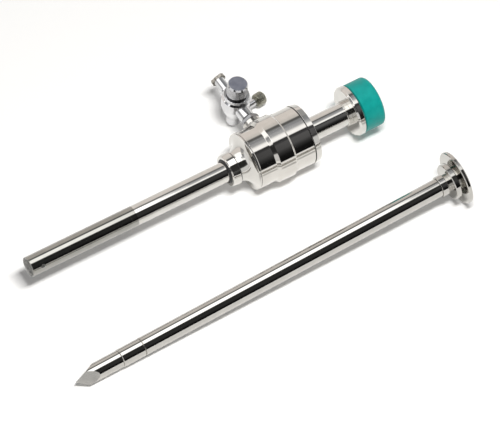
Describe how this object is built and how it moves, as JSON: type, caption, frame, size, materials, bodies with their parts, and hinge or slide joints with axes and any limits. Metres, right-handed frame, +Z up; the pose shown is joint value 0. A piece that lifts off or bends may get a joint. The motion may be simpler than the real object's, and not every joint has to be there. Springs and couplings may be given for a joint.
{
  "type": "laparoscopic trocar",
  "caption": "Reusable metal trocar cannula with a flap-valve barrel, side gas stopcock and silicone seal cap, lying beside its pyramid-tipped obturator.",
  "frame": {"origin": "centre of the cannula's mouth, on the bore's axis", "axes": "+X up the bore from the mouth to the seal cap, +Y towards the stopcock, +Z up, square to the surface that the trocar lies on"},
  "size_m": [0.2369, 0.133, 0.0348],
  "materials": {
    "polished_steel": "mirror polished",
    "inner_steel": "fine turned",
    "dark_steel": "satin",
    "satin_cap": "satin",
    "black_rubber": "matte",
    "clear_silicone": "soft",
    "teal_silicone": "soft satin",
    "magnet_plate": "nickel plated"
  },
  "bodies": {
    "housing": {"cannula_tube": "polished_steel", "tube_ring": "black_rubber", "cannula_hub": "polished_steel", "hub_gasket": "black_rubber", "nose_cone": "polished_steel", "nose_gasket": "black_rubber", "barrel": "polished_steel", "rear_gasket": "black_rubber", "rear_cap": "polished_steel", "inlet_neck": "polished_steel", "neck_flange": "polished_steel", "valve_seat": "inner_steel", "seat_seal": "clear_silicone", "seat_magnet": "magnet_plate", "flap_pin": "inner_steel", "stopcock_boss": "polished_steel", "lock_nut": "polished_steel", "stopcock_body": "polished_steel", "luer_connector": "polished_steel", "tap_washer": "black_rubber"},
    "flap": {"flap_plate": "inner_steel"},
    "tap": {"tap_plug": "polished_steel", "tap_lever": "polished_steel", "lever_knob": "dark_steel", "spring_cap": "satin_cap", "tap_spring": "inner_steel"},
    "seal": {"seal_cap": "teal_silicone"},
    "obturator": {"obturator_tip": "polished_steel", "obturator_shaft": "polished_steel", "head_collar": "polished_steel", "small_disc": "polished_steel", "palm_disc": "polished_steel"}
  },
  "joints": [
    {"name": "tap_turn", "type": "hinge", "parent": "housing", "child": "tap", "pos_m": [0.148, 0.036, 0], "axis": [0.0941, 0, 0.9956], "range_deg": [-90, 90]},
    {"name": "flap_swing", "type": "hinge", "parent": "housing", "child": "flap", "pos_m": [0.1574, 0, 0.0094], "axis": [0, 1, 0], "range_deg": [0, 80], "stiffness_Nm_per_rad": 0.0006},
    {"name": "seal_cap_pull", "type": "slide", "parent": "housing", "child": "seal", "axis": [1, 0, 0], "range_m": [0, 0.012]},
    {"name": "obturator_lift", "type": "slide", "parent": "housing", "child": "obturator", "axis": [0, 0, 1], "range_m": [0, 0.06]}
  ]
}
